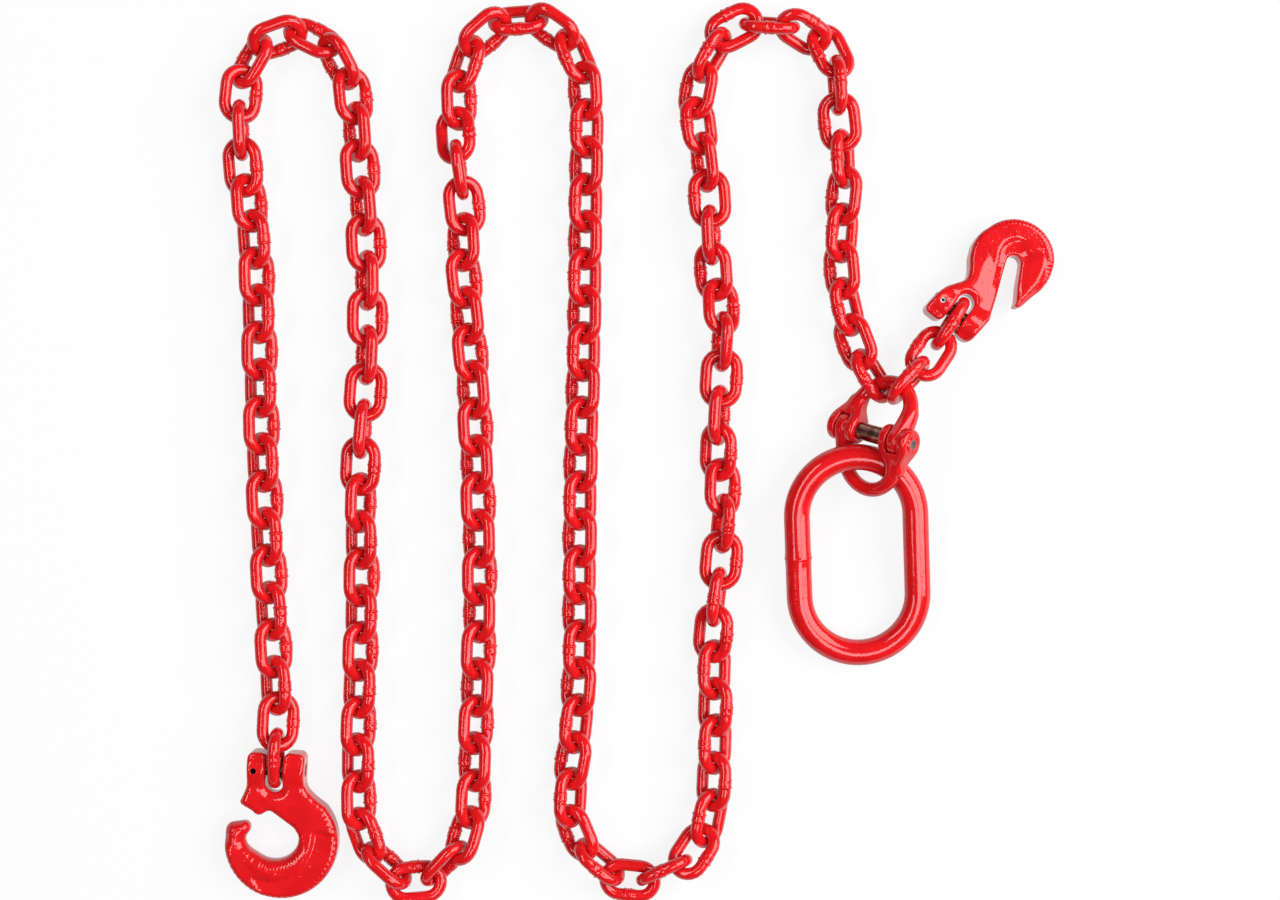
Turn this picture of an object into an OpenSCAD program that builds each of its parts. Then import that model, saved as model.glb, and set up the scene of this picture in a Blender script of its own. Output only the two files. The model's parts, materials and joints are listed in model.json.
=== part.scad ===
// Logging chain laid out flat in six passes. A long run of welded links ends in a clevis choker hook
// and a short leg of three links ends in a clevis grab hook. Both hang from one half of a two-piece
// coupling, whose other half holds the oblong master link.
// Millimetres. The floor is z = 0, +Y runs from the master link towards the coupling.

/* [Chain link] */
// Bar of a chain link
link_bar = 8; // [7:0.5:9]
// Inner length of a chain link, which sets the pitch
link_inner = 24.5; // [24:0.5:27]
// Outer width of a chain link
link_width = 28; // [27:0.5:30]
// Extra diameter of the welded place on one leg
weld_swell = 0.7; // [0.2:0.1:1.2]
// Length of the welded place
weld_length = 5; // [3:0.5:8]

/* [Master link] */
// Inner width of the oblong eye
eye_width = 60; // [56:1:70]
// Inner length of the oblong eye
eye_length = 112; // [100:1:130]
// Bar of the master link
master_bar = 17; // [14:0.5:18]

/* [Coupling] */
// Bar of each bow
bow_bar = 9.5; // [8.5:0.5:10.5]
// Radius of a bow's centreline
bow_radius = 21.5; // [20:0.5:23]
// From the load pin to the centre of a bow
bow_reach = 15; // [13:0.5:18]
// Diameter of the load pin
load_pin = 10; // [8:0.5:11]
// Outer radius of a lug around the load pin
lug_radius = 9.5; // [8.5:0.5:10.5]
// Thickness of the single lug
single_lug = 8.5; // [7:0.5:10]
// Thickness of each lug of the fork
fork_lug = 6.5; // [5:0.5:8]

/* [Choker hook] */
// Radius of the inside of the bowl
bowl_radius = 16.6; // [14:0.5:18]
// Radius of the outside of the bowl
bowl_outer = 37; // [34:0.5:40]
// Thickness of the hook's body
choker_thick = 18; // [15:0.5:20]
// Gap between the beak and the tip
mouth_gap = 9; // [8.5:0.5:11]

/* [Grab hook] */
// Radius of the round head
head_radius = 26.5; // [24:0.5:29]
// Width of the slot that grips a link
grab_slot = 9.6; // [9:0.2:11]
// Thickness of the head
head_thick = 18; // [15:0.5:20]

/* [Clevises] */
// Width of the slot between the ears
clevis_gap = 11.4; // [10:0.2:13]
// Diameter of a clevis pin
clevis_pin = 9; // [8:0.5:10]
// Height of the ears
ear_height = 23.5; // [22:0.5:25]
// Diameter of the spring pin that locks a clevis pin
spring_pin = 4; // [3:0.5:5]

/* [Hidden] */
$fn = 48;
clearance = 0.2;                                 // between a link and what it hangs in
pin_fit = 0.05;                                  // radial, between a pin and its bore
crown = (link_width - link_bar) / 2;             // radius of a link's round ends
leg = link_inner + link_bar - 2 * crown;         // straight part of a link
hang = link_bar + clearance;                     // between two bars that hang in each other
deepest_cross = 0.6;                             // cosine of the least angle between two links
PAINT = [0.78, 0.07, 0.09];
STEEL = [0.52, 0.49, 0.46];

// Frames: a piece that lies along heading h, pitched up by b and rolled by r about its length
function along(h, b) = [cos(h) * cos(b), sin(h) * cos(b), sin(b)];
function across(h) = [-sin(h), cos(h), 0];
function normal(h, b, r) = cos(r) * cross(along(h, b), across(h)) - sin(r) * across(h);
function unit(v) = v / norm(v);
// Common line of two links' planes, pointing forward along t
function common_line(n1, n2, t) = let (c = unit(cross(n1, n2))) c * t < 0 ? -c : c;
// From crown centre to crown centre where two links hang in each other, for links whose planes
// cross with cosine k
function seat(k) =
    let (q = min(abs(k), deepest_cross))
    2 * crown - hang >= crown * (1 + q) ? 2 * crown - hang
    : sqrt((1 + q) * max(1, 2 * crown * crown - hang * hang / (1 - q)));

// Route of the long run: straight passes joined by elliptical bends
function bend(x1, x2, y, rise) = [for (a = [0:15:180]) [(x1 + x2) / 2 + (x1 - x2) / 2 * cos(a), y + rise * sin(a)]];
ROUTE = concat(
    [[159, 30], [152, 47], [142, 75], [137, 105], [138, 140], [138, 165], [133, 200]],
    bend(132, 44, 218, 48),
    [[46, 180], [47, 140], [50, 100], [50, 0], [49, -80], [46, -140], [47, -200]],
    bend(47, -42, -232, -49),
    [[-37, -195], [-36, -150], [-38, -80], [-38, -20], [-36, 60], [-35, 160], [-34, 215]],
    bend(-34, -113, 234, 46),
    [[-112, 180], [-110, 120], [-106, 40], [-104, -60], [-104, -110], [-107, -190]],
    bend(-108, -179, -233, -49),
    [[-181, -190], [-181, -30], [-176, 70], [-177, 125], [-183, 200]],
    bend(-185, -255, 228, 43),
    [[-257, 190], [-251, 100], [-247, 0], [-241, -100], [-237, -160], [-238, -205], [-238, -270]]);
steps = [for (i = [0:len(ROUTE) - 2]) norm(ROUTE[i + 1] - ROUTE[i])];
stations = [for (i = 0, s = 0; i < len(ROUTE); s = s + (i < len(steps) ? steps[i] : 0), i = i + 1) s];
route_x = [for (i = [0:len(ROUTE) - 1]) [stations[i], ROUTE[i][0]]];
route_y = [for (i = [0:len(ROUTE) - 1]) [stations[i], ROUTE[i][1]]];
function route(s) = [lookup(s, route_x), lookup(s, route_y)];
look = 16;                                       // half of the stretch that gives the heading
ahead = 6;                                       // how far in front of the link it lies
gain = 0.9;                                      // degrees of heading per millimetre off the route
function steer(s, p) =
    let (d = route(s + ahead + look) - route(s + ahead - look), e = p - route(s),
         off = (d[0] * e[1] - d[1] * e[0]) / norm(d))
    atan2(d[1], d[0]) - max(-25, min(25, gain * off));

// Roll of each link: neighbours lean 45 degrees either way, and the run is twisted in places
LINKS = 133;
TWIST = [[1, 9], [4, 0], [6, 0], [10, 70], [14, 160], [17, 200], [22, 300], [26, 370], [31, 450], [35, 450],
         [40, 365], [66, 360], [70, 270], [86, 270], [90, 185], [98, 180], [103, 250], [114, 270],
         [118, 355], [131, 360], [133, 405]];
function lean(k) = (k % 2 == 1 ? 45 : -45) + lookup(k, TWIST);
function stand(r) = link_bar / 2 + crown * abs(sin(r));
steepest = 20;                                   // pitch that a lying link may have
// Pitch that brings both this link's far end and the next link's near end to the floor
function settle(near, h, r, h2, r2) =
    let (n1 = normal(h, 0, r), n2 = normal(h2, 0, r2), c = seat(n1 * n2),
         drop = c * common_line(n1, n2, along(h, 0))[2],
         own = (stand(r) - near[2]) / leg,
         next = (stand(r2) - near[2] - drop) / (leg + c / 2))
    asin(max(-sin(steepest), min(sin(steepest), max(own, next))));

// A laid link is [near crown centre, heading, pitch, roll, station on the route]
function far(L) = L[0] + leg * along(L[1], L[2]);
function facing(L) = normal(L[1], L[2], L[3]);
function flat(v) = [v[0], v[1]];
function next_link(L, k) =
    let (f = far(L), r = lean(k), h = steer(L[4], flat(f)),
         n0 = normal(h, 0, r), near0 = f + seat(facing(L) * n0) * common_line(facing(L), n0, along(L[1], L[2])),
         tip = near0 + leg * along(h, 0),
         b = settle(near0, h, r, steer(L[4] + leg + seat(0), flat(tip)), lean(k + 1)),
         n = normal(h, b, r), near = f + seat(facing(L) * n) * common_line(facing(L), n, along(L[1], L[2])),
         d = flat(near + leg * along(h, b) - f), u = route(L[4] + 1) - route(L[4] - 1))
    [near, h, b, r, L[4] + d * unit(u)];

// Coupling: the load pin leans up to the right, and each bow hangs down from it
PIN_CENTRE = [151, 10, 27.6];
UPPER = [66, -7.4];                               // heading and pitch of the bow that holds the links
LOWER = [265, -12.6];                             // the same of the bow that holds the master link
pin_axis = unit(cross(along(LOWER[0], LOWER[1]), along(UPPER[0], UPPER[1])));
upper_bow = PIN_CENTRE + bow_reach * along(UPPER[0], UPPER[1]);
upper_face = cross(pin_axis, along(UPPER[0], UPPER[1]));
bow_seat = bow_radius + crown - (bow_bar + link_bar) / 2 - clearance;
// A first link hung in the upper bow; ease brings it in where it crosses the bow at a slant
function from_bow(h, b, r, ease) =
    let (l = common_line(upper_face, normal(h, b, r), along(UPPER[0], UPPER[1])))
    upper_bow + (bow_seat - ease) * l;

FIRST_HEADING = 122;
FIRST_STATION = 12;                              // on the route, past the bow
first = [from_bow(FIRST_HEADING, 0, lean(1), 0.1), FIRST_HEADING, 0, lean(1), FIRST_STATION];
run = [for (k = 1, L = first; k <= LINKS; L = next_link(L, k + 1), k = k + 1) L];

// Short leg: three links from the bow down to the grab hook, each [heading, pitch, roll]
LEG_POSES = [[45, -19, 72], [55, -15, -8], [57, -3, 90]];
function posed(f, v) = [f, v[0], v[1], v[2]];
function hung(L, v) =
    let (n = normal(v[0], v[1], v[2]), l = common_line(facing(L), n, along(L[1], L[2])))
    posed(far(L) + seat(facing(L) * n) * l, v);
leg_1 = posed(from_bow(LEG_POSES[0][0], LEG_POSES[0][1], LEG_POSES[0][2], 1.1), LEG_POSES[0]);
leg_2 = hung(leg_1, LEG_POSES[1]);
leg_3 = hung(leg_2, LEG_POSES[2]);
leg_run = [leg_1, leg_2, leg_3];

ORIGIN = [-1.27, -2.38, -1.69];                   // middle of the laid chain, at its lowest point
// Moves a piece drawn along +X to a frame
module at(place, h, b, r) {
    translate(place - ORIGIN) rotate([r, -b, h]) children();
}
// Bar between two points of the XY plane
module bar_between(p, q, d) {
    translate(p) rotate([0, 0, atan2(q[1] - p[1], q[0] - p[0])]) rotate([0, 90, 0]) cylinder(d = d, h = norm(q - p));
}
// Half ring in the XY plane, open towards -X
module half_ring(radius, d) {
    rotate([0, 0, -90]) rotate_extrude(angle = 180) translate([radius, 0]) circle(d = d);
}
// Oblong ring about the origin, long along X
module oblong(radius, straight, d) {
    for (side = [0, 180])
        rotate([0, 0, side]) {
            translate([straight / 2, 0, 0]) half_ring(radius, d);
            bar_between([-straight / 2, radius, 0], [straight / 2, radius, 0], d);
        }
}

// A chain link with its weld swollen on one leg
module link() {
    oblong(crown, leg, link_bar);
    taper = weld_swell;
    translate([-weld_length / 2, crown, 0]) rotate([0, 90, 0]) {
        cylinder(d = link_bar + weld_swell, h = weld_length);
        translate([0, 0, -taper]) cylinder(d1 = link_bar, d2 = link_bar + weld_swell, h = taper);
        translate([0, 0, weld_length]) cylinder(d1 = link_bar + weld_swell, d2 = link_bar, h = taper);
    }
}
module laid_link(L) {
    at(L[0] + leg / 2 * along(L[1], L[2]), L[1], L[2], L[3]) link();
}
LINKS_PER_GROUP = 3;
module chain_group(g) {
    color(PAINT)
        for (k = [(g - 1) * LINKS_PER_GROUP + 1 : min(g * LINKS_PER_GROUP, LINKS)]) laid_link(run[k - 1]);
}
module leg_link(k) {
    color(PAINT) laid_link(leg_run[k - 1]);
}

// Oblong master link. It hangs in the lower bow by the inside of its eye's top, and its foot lies on the floor.
EYE_TOP = [139.68, -13.27, 23.19];
MASTER_HEADING = 92.5;
master_radius = (eye_width + master_bar) / 2;
master_straight = eye_length - eye_width;
master_tilt = asin((EYE_TOP[2] - master_bar / 2) / (eye_length + master_bar / 2));
module master_link() {
    seam = 1.2;
    color(PAINT) at(EYE_TOP - eye_length / 2 * along(MASTER_HEADING, master_tilt), MASTER_HEADING, master_tilt, 0) {
        oblong(master_radius, master_straight, master_bar);
        translate([-seam / 2, master_radius, 0]) rotate([0, 90, 0]) cylinder(d = master_bar + seam, h = seam);
    }
}

// One half of the coupling. The load pin lies along X and the bow points to +Y.
lug_gap = 0.3;
fork_slot = single_lug + 2 * lug_gap;
stack = fork_slot + 2 * fork_lug;
lug_turn = lug_radius + 0.6;                     // room for the lug that turns in the fork
lug_root = bow_reach + 3;                        // where a lug has narrowed to the bar of the bow
// Side view of a lug, round about the pin and narrowing to the bow's bar
module lug_side(width) {
    translate([-width / 2, 0, 0]) rotate([90, 0, 90]) linear_extrude(width) {
        circle(r = lug_radius);
        root = bow_bar / 2 - 0.6;
        polygon([[0, -lug_radius], [lug_root, -root], [lug_root, root], [0, lug_radius]]);
    }
}
// Plan of a lug or a fork, drawn in to the bar of the bow
module lug_plan(width) {
    shoulder = bow_reach - 3;
    translate([0, 0, -lug_radius]) linear_extrude(2 * lug_radius)
        polygon([[-width / 2, -lug_radius], [width / 2, -lug_radius], [width / 2, shoulder - (width - bow_bar) / 3],
                 [bow_bar / 2, lug_root], [-bow_bar / 2, lug_root], [-width / 2, shoulder - (width - bow_bar) / 3]]);
}
module coupling_half() {
    difference() {
        union() {
            translate([0, bow_reach, 0]) rotate([0, 0, 90]) half_ring(bow_radius, bow_bar);
            translate([bow_radius, 0, 0]) {
                bar_between([0, lug_radius, 0], [0, bow_reach, 0], bow_bar);
                intersection() {
                    lug_side(stack);
                    lug_plan(stack);
                }
            }
            translate([-bow_radius, 0, 0]) {
                bar_between([0, lug_turn, 0], [0, bow_reach, 0], bow_bar);
                intersection() {
                    lug_side(single_lug);
                    lug_plan(single_lug);
                }
            }
        }
        // Slot of the fork, round about the pin so that the other half's lug turns in it
        translate([bow_radius - fork_slot / 2, 0, 0]) {
            rotate([0, 90, 0]) cylinder(r = lug_turn, h = fork_slot);
            translate([0, -2 * lug_radius, -lug_radius - 1]) cube([fork_slot, 2 * lug_radius, 2 * lug_radius + 2]);
        }
        translate([-bow_radius - stack, 0, 0]) rotate([0, 90, 0])
            cylinder(d = load_pin + 2 * pin_fit, h = 2 * (bow_radius + stack));
    }
}
// The fork of the upper half is at the low end of the pin, that of the lower half at its high end
LOW_END = 1;
HIGH_END = -1;
module place_half(d, fork_end) {
    u = cross(along(d[0], d[1]), across(d[0]));
    at(PIN_CENTRE, d[0], d[1], atan2(fork_end * pin_axis * u, fork_end * pin_axis * across(d[0])))
        rotate([0, 0, -90]) children();
}
module coupling_lower() {
    color(PAINT) place_half(LOWER, HIGH_END) coupling_half();
}
module coupling_upper() {
    color(PAINT) place_half(UPPER, LOW_END) coupling_half();
}
// Load pin with a waist that the retaining sleeve grips
waist = load_pin - 2.4;
sleeve_length = 2 * bow_radius - stack - 1;
pin_half = bow_radius + stack / 2 + 0.6;
module load_pin_piece() {
    chamfer = 0.8;
    end = pin_half - sleeve_length / 2;
    color(STEEL) place_half(UPPER, LOW_END) rotate([0, 90, 0]) {
        translate([0, 0, -sleeve_length / 2]) cylinder(d = waist, h = sleeve_length);
        for (side = [0, 1])
            mirror([0, 0, side]) translate([0, 0, sleeve_length / 2]) {
                cylinder(d = load_pin, h = end - chamfer);
                translate([0, 0, end - chamfer]) cylinder(d1 = load_pin, d2 = load_pin - 2 * chamfer, h = chamfer);
            }
    }
}
module retaining_sleeve() {
    wall_out = load_pin + 1.5;
    color(STEEL * 0.8) place_half(UPPER, LOW_END) rotate([0, 90, 0]) difference() {
        translate([0, 0, -sleeve_length / 2 + 0.2]) cylinder(d = wall_out, h = sleeve_length - 0.4);
        translate([0, 0, -sleeve_length]) cylinder(d = waist + 2 * pin_fit, h = 2 * sleeve_length);
    }
}

// Hooks, drawn flat with the clevis pin along X at the origin, the chain coming from +Y and the
// hook reaching to -Y
// A slab with the outline it is given and all its edges rounded by e
module forged(t, e) {
    minkowski() {
        linear_extrude(t - 2 * e, center = true) offset(delta = -e) children();
        sphere(r = e, $fn = 20);
    }
}
EAR_LEFT = -17.8;                                // outer faces of the ears
EAR_RIGHT = 19.5;
slot_floor = link_width / 2 + 0.6;               // the link's end turns clear of it
// Ears round about the pin, each with rounded rims, running down into the body of the hook
module clevis_ears() {
    rim = 3;
    r = ear_height / 2;
    foot = slot_floor + 1;
    for (side = [-1, 1]) {
        reach = side < 0 ? -EAR_LEFT : EAR_RIGHT;
        wide = reach - clevis_gap / 2;
        mirror([side < 0 ? 1 : 0, 0, 0]) translate([clevis_gap / 2, 0, 0]) {
            rotate([0, 90, 0]) rotate_extrude() {
                square([r - rim, wide]);
                translate([0, rim / 2]) square([r - rim / 2, wide - 1.5 * rim]);
                square([r, wide - rim]);
                translate([r - rim, wide - rim]) circle(r = rim, $fn = 24);
            }
            rotate([90, 0, 90]) linear_extrude(wide - 1)
                polygon([[0, 0.5 - r], [-foot / 2, 1.5 - r], [-foot, 4 - r], [-foot, r - 4], [-foot / 2, r - 1.5],
                         [0, r - 0.5]]);
        }
    }
}
module clevis_cuts_at(lock) {
    wide = 2 * EAR_RIGHT + 4;
    bore = clevis_pin + 2 * pin_fit;
    round_end = clevis_gap / 2;
    translate([-wide / 2, 0, 0]) rotate([0, 90, 0]) cylinder(d = bore, h = wide);
    translate([-round_end, round_end - slot_floor, -ear_height]) cube([clevis_gap, 2 * ear_height, 2 * ear_height]);
    translate([0, round_end - slot_floor, -ear_height]) cylinder(r = round_end, h = 2 * ear_height);
    translate([lock, 0, -ear_height]) cylinder(d = spring_pin + 2 * pin_fit, h = 2 * ear_height);
}
lock_x = 13;                                     // where the spring pin crosses an ear
module clevis_pin_piece(lock) {
    chamfer = 0.8;
    inset = 0.8;
    long = EAR_RIGHT - EAR_LEFT - 2 * inset;
    color(STEEL) difference() {
        translate([EAR_LEFT + inset, 0, 0]) rotate([0, 90, 0]) {
            translate([0, 0, chamfer]) cylinder(d = clevis_pin, h = long - 2 * chamfer);
            cylinder(d1 = clevis_pin - 2 * chamfer, d2 = clevis_pin, h = chamfer);
            translate([0, 0, long - chamfer]) cylinder(d1 = clevis_pin, d2 = clevis_pin - 2 * chamfer, h = chamfer);
        }
        translate([lock, 0, -clevis_pin]) cylinder(d = spring_pin + 2 * pin_fit, h = 2 * clevis_pin);
    }
}
// Rolled spring pin with its slit
module spring_pin_piece(lock) {
    long = ear_height - 2;
    slit = 0.6;
    color(STEEL) translate([lock, 0, -long / 2]) difference() {
        cylinder(d = spring_pin, h = long);
        translate([0, 0, -1]) cylinder(d = spring_pin / 2, h = long + 2);
        translate([0, -slit / 2, -1]) cube([spring_pin, slit, long + 2]);
    }
}

// Choker hook: a wide eccentric bowl that narrows to the tip, with a beak over the mouth
OUTER_CENTRE = [5.8, -46.9];
BOWL_CENTRE = [0.7, -42.7];
BEAK = [[-2.1, -26.3], [-5, -28.2], [-8.2, -29.7], [-11, -28.8], [-13.8, -26.6], [-20.4, -23.4], [-21.8, -21.3]];
module choker_outline() {
    tip_y = BEAK[5][1] - mouth_gap - 2;
    difference() {
        union() {
            translate(OUTER_CENTRE) circle(bowl_outer);
            polygon(concat(BEAK, [[-20.9, -19], [-19.2, -15.2], [-17.9, -11.3], [-17.4, -7], [-17.4, -4], [19.2, -4],
                                  [19.6, -8.8], [21.3, -12.5], [24.8, -16.1], [29.3, -19.7], [34, -24], [0, -40]]));
        }
        // Bowl, flat on its upper right
        intersection() {
            translate(BOWL_CENTRE) circle(bowl_radius);
            polygon([BEAK[0], [14.2, -37], [40, -70], [-40, -70], [-40, -26.3]]);
        }
        // Mouth and the clear side of it
        polygon(concat(BEAK, [[-60, -5], [-60, -46.5], [-16, -46.5], [-14.5, -50], [5, -36]]));
    }
    hull() {
        translate([-18.8, tip_y - 4.4]) circle(4.4);
        translate([-25.4, tip_y - 6.5]) circle(5.6);
        translate([-22.8, tip_y - 15]) circle(7.9);
    }
}
module choker_body() {
    edge = 3.5;
    band = 9.5;                                  // width of the raised band along the bowl
    step = 1.1;                                  // by which it stands above the flank outside it
    FLANK = [-118, 8];
    difference() {
        union() {
            intersection() {
                clevis_ears();
                linear_extrude(2 * ear_height, center = true)
                    polygon([[-18.5, 20], [-17.6, -7], [-22, -22], [30, -22], [19.6, -8], [20.5, 20]]);
            }
            forged(choker_thick, edge) choker_outline();
        }
        // Sunk flank of the bowl on both faces
        for (side = [-1, 1])
            translate([0, 0, side * (choker_thick / 2 + 2 - step) - 2]) linear_extrude(4) difference() {
                translate(OUTER_CENTRE) polygon(concat([[0, 0]],
                    [for (a = [FLANK[0]:6:FLANK[1]]) (bowl_outer - edge + 1) * [cos(a), sin(a)]]));
                translate(BOWL_CENTRE) circle(bowl_radius + band);
            }
        clevis_cuts_at(-lock_x);
    }
}

// Grab hook: a round head with a narrow slot between shank and finger
HEAD_CENTRE = [-8, -50.7];
SLOT_END = [-9, -48.9];                          // centre of the slot's round end
SLOT_LEAN = 23.4;                                // the slot leans this far to the ears' left
module grab_outline() {
    translate(HEAD_CENTRE) circle(head_radius);
    // Shank and neck
    polygon([[-19.6, -4], [-19.2, -10], [-14.3, -23.4], [-5.8, -43.1], [-5, -60], [16, -60], [19.8, -53], [20.3, -48],
             [19.4, -41.8], [16.1, -34.5], [11.4, -28.1], [9, -23.8], [9.2, -19.8], [12.5, -15.2], [16.4, -9.8], [18.2, -4]]);
    // Finger
    polygon([[-34.5, -50], [-34.3, -45.5], [-32.6, -39.5], [-30.4, -28.8], [-29, -26.6], [-26.4, -26], [-24.6, -27.4],
             [-16, -48]]);
}
module grab_body() {
    edge = 3.5;
    bevel = 7;                                   // width of the bevels along the slot
    sink = 3;                                    // and how deep they are at its edge
    long = 40;
    difference() {
        union() {
            intersection() {
                clevis_ears();
                linear_extrude(2 * ear_height, center = true)
                    polygon([[-18.5, 20], [-18.6, -9], [-13, -22], [9, -22], [12.5, -15], [17.5, -8], [20.5, 20]]);
            }
            forged(head_thick, edge) grab_outline();
        }
        translate(SLOT_END) rotate([0, 0, SLOT_LEAN]) {
            cylinder(d = grab_slot, h = 2 * ear_height, center = true);
            linear_extrude(2 * ear_height, center = true)
                polygon([[-grab_slot / 2, 0], [grab_slot / 2, 0], [grab_slot / 2 + 0.5, 26], [grab_slot / 2 + 0.5, long],
                         [-grab_slot / 2 - 12, long], [-grab_slot / 2 - 1, 20]]);
            // Bevels that run up both sides of the slot and round its end
            for (side = [0, 1])
                mirror([0, 0, side]) translate([0, 0, head_thick / 2 - sink]) {
                    cylinder(r1 = grab_slot / 2, r2 = grab_slot / 2 + bevel, h = sink);
                    rotate([90, 0, 180]) linear_extrude(long)
                        polygon([[-grab_slot / 2, 0], [grab_slot / 2, 0], [grab_slot / 2 + bevel, sink],
                                 [grab_slot / 2 + bevel, 2 * sink], [-grab_slot / 2 - bevel, 2 * sink],
                                 [-grab_slot / 2 - bevel, sink]]);
                }
        }
        clevis_cuts_at(lock_x);
    }
    // Saddle that the neighbours of the gripped link bear on
    difference() {
        translate(SLOT_END) rotate([0, 0, SLOT_LEAN]) translate([0, -1.5, 0]) linear_extrude(head_thick + 2, center = true)
            offset(2) offset(delta = -2) polygon([[-12, -3.5], [-9, -7], [9, -7], [12, -3.5], [9, 0], [-9, 0]]);
        translate(SLOT_END) rotate([0, 0, SLOT_LEAN]) linear_extrude(2 * head_thick, center = true) {
            circle(d = grab_slot);
            translate([-grab_slot / 2, 0]) square([grab_slot, long]);
        }
    }
}

// Each hook hangs on its link by the clevis pin and droops to the floor
pin_seat = crown - (link_bar + clevis_pin) / 2 - clearance;
function pin_place(L) = far(L) + pin_seat * along(L[1], L[2]);
CHOKER_DROOP = 3;
GRAB_DROOP = 4;
GRAB_TURN = -4.5;                                // the grab hook sits askew on its link
module place_choker() {
    at(pin_place(run[LINKS - 1]), run[LINKS - 1][1], -CHOKER_DROOP, 0) rotate([0, 0, 90]) children();
}
module place_grab() {
    at(pin_place(leg_3), leg_3[1] + GRAB_TURN, -GRAB_DROOP, 0) rotate([0, 0, 90]) children();
}
module choker_hook() {
    color(PAINT) place_choker() choker_body();
}
module choker_hook_pin() {
    place_choker() clevis_pin_piece(-lock_x);
}
module choker_hook_spring_pin() {
    place_choker() spring_pin_piece(-lock_x);
}
module grab_hook() {
    color(PAINT) place_grab() grab_body();
}
module grab_hook_pin() {
    place_grab() clevis_pin_piece(lock_x);
}
module grab_hook_spring_pin() {
    place_grab() spring_pin_piece(lock_x);
}

master_link();
coupling_lower();
coupling_upper();
load_pin_piece();  // load_pin
retaining_sleeve();
chain_group(1);  // chain_01
chain_group(2);  // chain_02
chain_group(3);  // chain_03
chain_group(4);  // chain_04
chain_group(5);  // chain_05
chain_group(6);  // chain_06
chain_group(7);  // chain_07
chain_group(8);  // chain_08
chain_group(9);  // chain_09
chain_group(10);  // chain_10
chain_group(11);  // chain_11
chain_group(12);  // chain_12
chain_group(13);  // chain_13
chain_group(14);  // chain_14
chain_group(15);  // chain_15
chain_group(16);  // chain_16
chain_group(17);  // chain_17
chain_group(18);  // chain_18
chain_group(19);  // chain_19
chain_group(20);  // chain_20
chain_group(21);  // chain_21
chain_group(22);  // chain_22
chain_group(23);  // chain_23
chain_group(24);  // chain_24
chain_group(25);  // chain_25
chain_group(26);  // chain_26
chain_group(27);  // chain_27
chain_group(28);  // chain_28
chain_group(29);  // chain_29
chain_group(30);  // chain_30
chain_group(31);  // chain_31
chain_group(32);  // chain_32
chain_group(33);  // chain_33
chain_group(34);  // chain_34
chain_group(35);  // chain_35
chain_group(36);  // chain_36
chain_group(37);  // chain_37
chain_group(38);  // chain_38
chain_group(39);  // chain_39
chain_group(40);  // chain_40
chain_group(41);  // chain_41
chain_group(42);  // chain_42
chain_group(43);  // chain_43
chain_group(44);  // chain_44
chain_group(45);  // chain_45
leg_link(1);  // leg_link_1
leg_link(2);  // leg_link_2
leg_link(3);  // leg_link_3
choker_hook();
choker_hook_pin();
choker_hook_spring_pin();
grab_hook();
grab_hook_pin();
grab_hook_spring_pin();
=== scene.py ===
import json
import math
import bpy
import bmesh
import numpy as np
import openvdb
from mathutils import Matrix, Vector
from mathutils.geometry import delaunay_2d_cdt

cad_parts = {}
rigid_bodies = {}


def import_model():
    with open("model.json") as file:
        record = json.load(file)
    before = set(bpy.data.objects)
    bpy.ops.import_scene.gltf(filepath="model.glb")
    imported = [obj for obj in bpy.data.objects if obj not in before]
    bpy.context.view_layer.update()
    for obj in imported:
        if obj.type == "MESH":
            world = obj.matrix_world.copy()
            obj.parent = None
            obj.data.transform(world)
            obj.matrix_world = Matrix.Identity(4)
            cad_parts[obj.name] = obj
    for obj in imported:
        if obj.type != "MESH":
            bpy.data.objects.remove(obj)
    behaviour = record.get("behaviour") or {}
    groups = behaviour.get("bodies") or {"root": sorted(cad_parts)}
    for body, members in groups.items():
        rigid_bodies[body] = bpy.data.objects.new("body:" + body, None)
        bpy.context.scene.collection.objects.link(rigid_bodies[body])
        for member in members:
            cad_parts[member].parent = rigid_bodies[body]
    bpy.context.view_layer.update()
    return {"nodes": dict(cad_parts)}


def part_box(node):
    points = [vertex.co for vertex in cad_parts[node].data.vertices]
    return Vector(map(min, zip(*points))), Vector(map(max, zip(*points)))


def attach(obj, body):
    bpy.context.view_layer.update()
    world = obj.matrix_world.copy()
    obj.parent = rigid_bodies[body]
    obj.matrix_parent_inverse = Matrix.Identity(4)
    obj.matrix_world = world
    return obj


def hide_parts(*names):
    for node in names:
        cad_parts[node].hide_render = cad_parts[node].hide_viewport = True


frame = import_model()
mm = 0.001


def linear(hexColour):  # sRGB hex to the linear colour that shaders take
    parts = [int(hexColour[i:i + 2], 16) / 255 for i in (1, 3, 5)]
    return tuple(c / 12.92 if c <= 0.04045 else ((c + 0.055) / 1.055) ** 2.4 for c in parts) + (1,)


def addNode(tree, kind, settings=None, **links):  # settings: a node's own, or a socket's value or source
    node = tree.nodes.new(kind)
    for name, value in (settings or {}).items():
        if isinstance(value, bpy.types.NodeSocket):
            tree.links.new(value, node.inputs[name])
        elif isinstance(name, str) and hasattr(node, name):
            setattr(node, name, value)
        else:
            node.inputs[name.replace("_", " ") if isinstance(name, str) else name].default_value = value
    for name, source in links.items():
        tree.links.new(source, node.inputs[name.replace("_", " ")])
    return node


def newMaterial(name):
    material = bpy.data.materials.new(name)
    material.use_nodes = True
    material.node_tree.nodes.clear()
    return material, material.node_tree


def finishMaterial(tree, shader):
    addNode(tree, "ShaderNodeOutputMaterial", {"Surface": shader.outputs[0]})


def ramp(tree, factor, stops):
    node = tree.nodes.new("ShaderNodeValToRGB")
    while len(node.color_ramp.elements) < len(stops):
        node.color_ramp.elements.new(0.5)
    for element, (place, colour) in zip(node.color_ramp.elements, stops):
        element.position = place
        element.color = colour
    tree.links.new(factor, node.inputs["Fac"])
    return node


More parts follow.
